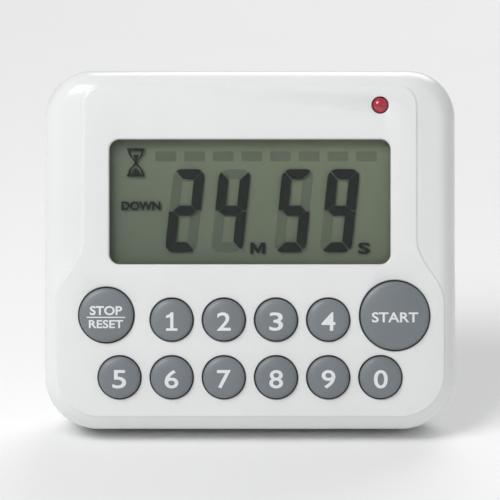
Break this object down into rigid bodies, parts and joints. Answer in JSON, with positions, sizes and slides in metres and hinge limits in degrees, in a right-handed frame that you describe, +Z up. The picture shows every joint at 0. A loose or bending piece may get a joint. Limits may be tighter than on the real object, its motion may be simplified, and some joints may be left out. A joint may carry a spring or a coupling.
{
  "type": "lab timer",
  "caption": "Digital countdown lab timer with number keys, segment display, fold-out back stand with magnet pad and battery door.",
  "frame": {"origin": "on the table under the middle of the whole timer as it leans on its open stand", "axes": "+Z up, +X to the right as seen from the front, the face looks along -Y and tilts up by 16 degrees"},
  "size_m": [0.08, 0.0448, 0.0691],
  "materials": {
    "case_white": "smooth moulded ABS",
    "window_clear": "clear acrylic",
    "lcd_glass": "reflective display film",
    "connector_rubber": "moulded silicone",
    "board_green": "solder mask",
    "key_grey": "satin moulded caps",
    "led_red": "tinted epoxy",
    "buzzer_black": "moulded epoxy",
    "crystal_steel": "drawn can",
    "battery_wrap": "printed sleeve",
    "contact_nickel": "nickel plated spring steel",
    "lead_red": "PVC insulation",
    "lead_black": "PVC insulation",
    "screw_steel": "zinc plated",
    "pin_steel": "bright drawn wire",
    "magnet_dark": "ferrite rubber magnet"
  },
  "bodies": {
    "case": {"front_case": "case_white", "back_case": "case_white", "lcd_frame": "case_white", "display_window": "window_clear", "lcd_panel": "lcd_glass", "connector_strip_lower": "connector_rubber", "connector_strip_upper": "connector_rubber", "key_mat": "connector_rubber", "circuit_board": "board_green", "indicator_led": "led_red", "piezo_buzzer": "buzzer_black", "controller_chip": "buzzer_black", "timing_crystal": "crystal_steel", "battery_lower": "battery_wrap", "battery_upper": "battery_wrap", "bridge_contact": "contact_nickel", "positive_contact": "contact_nickel", "negative_contact": "contact_nickel", "battery_spring_lower": "contact_nickel", "battery_spring_upper": "contact_nickel", "lead_positive": "lead_red", "lead_negative": "lead_black", "case_screw_1": "screw_steel", "case_screw_2": "screw_steel", "case_screw_3": "screw_steel", "case_screw_4": "screw_steel", "board_screw_1": "screw_steel", "board_screw_2": "screw_steel", "stand_hinge_pin": "pin_steel"},
    "stand": {"stand_arm": "case_white", "magnet_pad": "magnet_dark"},
    "wire_stay": {"wire_stay": "pin_steel"},
    "battery_door": {"battery_door": "case_white"},
    "key_1": {"key_1": "key_grey"},
    "key_2": {"key_2": "key_grey"},
    "key_3": {"key_3": "key_grey"},
    "key_4": {"key_4": "key_grey"},
    "key_5": {"key_5": "key_grey"},
    "key_6": {"key_6": "key_grey"},
    "key_7": {"key_7": "key_grey"},
    "key_8": {"key_8": "key_grey"},
    "key_9": {"key_9": "key_grey"},
    "key_0": {"key_0": "key_grey"},
    "key_start": {"key_start": "key_grey"},
    "key_stop_reset": {"key_stop_reset": "key_grey"}
  },
  "joints": [
    {"name": "back_stand_fold", "type": "hinge", "parent": "case", "child": "stand", "pos_m": [0, 0.00874, 0.05128], "axis": [-1, 0, 0], "range_deg": [0, 20]},
    {"name": "wire_stay_fold", "type": "hinge", "parent": "stand", "child": "wire_stay", "pos_m": [0, 0.01441, 0.0204], "axis": [-1, 0, 0], "range_deg": [0, 38]},
    {"name": "battery_cover_open", "type": "hinge", "parent": "case", "child": "battery_door", "pos_m": [0, -0.01282, 0.00149], "axis": [1, 0, 0], "range_deg": [-30, 0]},
    {"name": "key_1_press", "type": "slide", "parent": "case", "child": "key_1", "axis": [0, 0.9613, -0.2756], "range_m": [0, 0.001], "stiffness_N_per_m": 1200},
    {"name": "key_2_press", "type": "slide", "parent": "case", "child": "key_2", "axis": [0, 0.9613, -0.2756], "range_m": [0, 0.001], "stiffness_N_per_m": 1200},
    {"name": "key_3_press", "type": "slide", "parent": "case", "child": "key_3", "axis": [0, 0.9613, -0.2756], "range_m": [0, 0.001], "stiffness_N_per_m": 1200},
    {"name": "key_4_press", "type": "slide", "parent": "case", "child": "key_4", "axis": [0, 0.9613, -0.2756], "range_m": [0, 0.001], "stiffness_N_per_m": 1200},
    {"name": "key_5_press", "type": "slide", "parent": "case", "child": "key_5", "axis": [0, 0.9613, -0.2756], "range_m": [0, 0.001], "stiffness_N_per_m": 1200},
    {"name": "key_6_press", "type": "slide", "parent": "case", "child": "key_6", "axis": [0, 0.9613, -0.2756], "range_m": [0, 0.001], "stiffness_N_per_m": 1200},
    {"name": "key_7_press", "type": "slide", "parent": "case", "child": "key_7", "axis": [0, 0.9613, -0.2756], "range_m": [0, 0.001], "stiffness_N_per_m": 1200},
    {"name": "key_8_press", "type": "slide", "parent": "case", "child": "key_8", "axis": [0, 0.9613, -0.2756], "range_m": [0, 0.001], "stiffness_N_per_m": 1200},
    {"name": "key_9_press", "type": "slide", "parent": "case", "child": "key_9", "axis": [0, 0.9613, -0.2756], "range_m": [0, 0.001], "stiffness_N_per_m": 1200},
    {"name": "key_0_press", "type": "slide", "parent": "case", "child": "key_0", "axis": [0, 0.9613, -0.2756], "range_m": [0, 0.001], "stiffness_N_per_m": 1200},
    {"name": "key_start_press", "type": "slide", "parent": "case", "child": "key_start", "axis": [0, 0.9613, -0.2756], "range_m": [0, 0.001], "stiffness_N_per_m": 1200},
    {"name": "key_stop_reset_press", "type": "slide", "parent": "case", "child": "key_stop_reset", "axis": [0, 0.9613, -0.2756], "range_m": [0, 0.001], "stiffness_N_per_m": 1200}
  ],
  "couplings": [
    {"joint": "wire_stay_fold", "follows": "back_stand_fold", "ratio": 1.887}
  ]
}
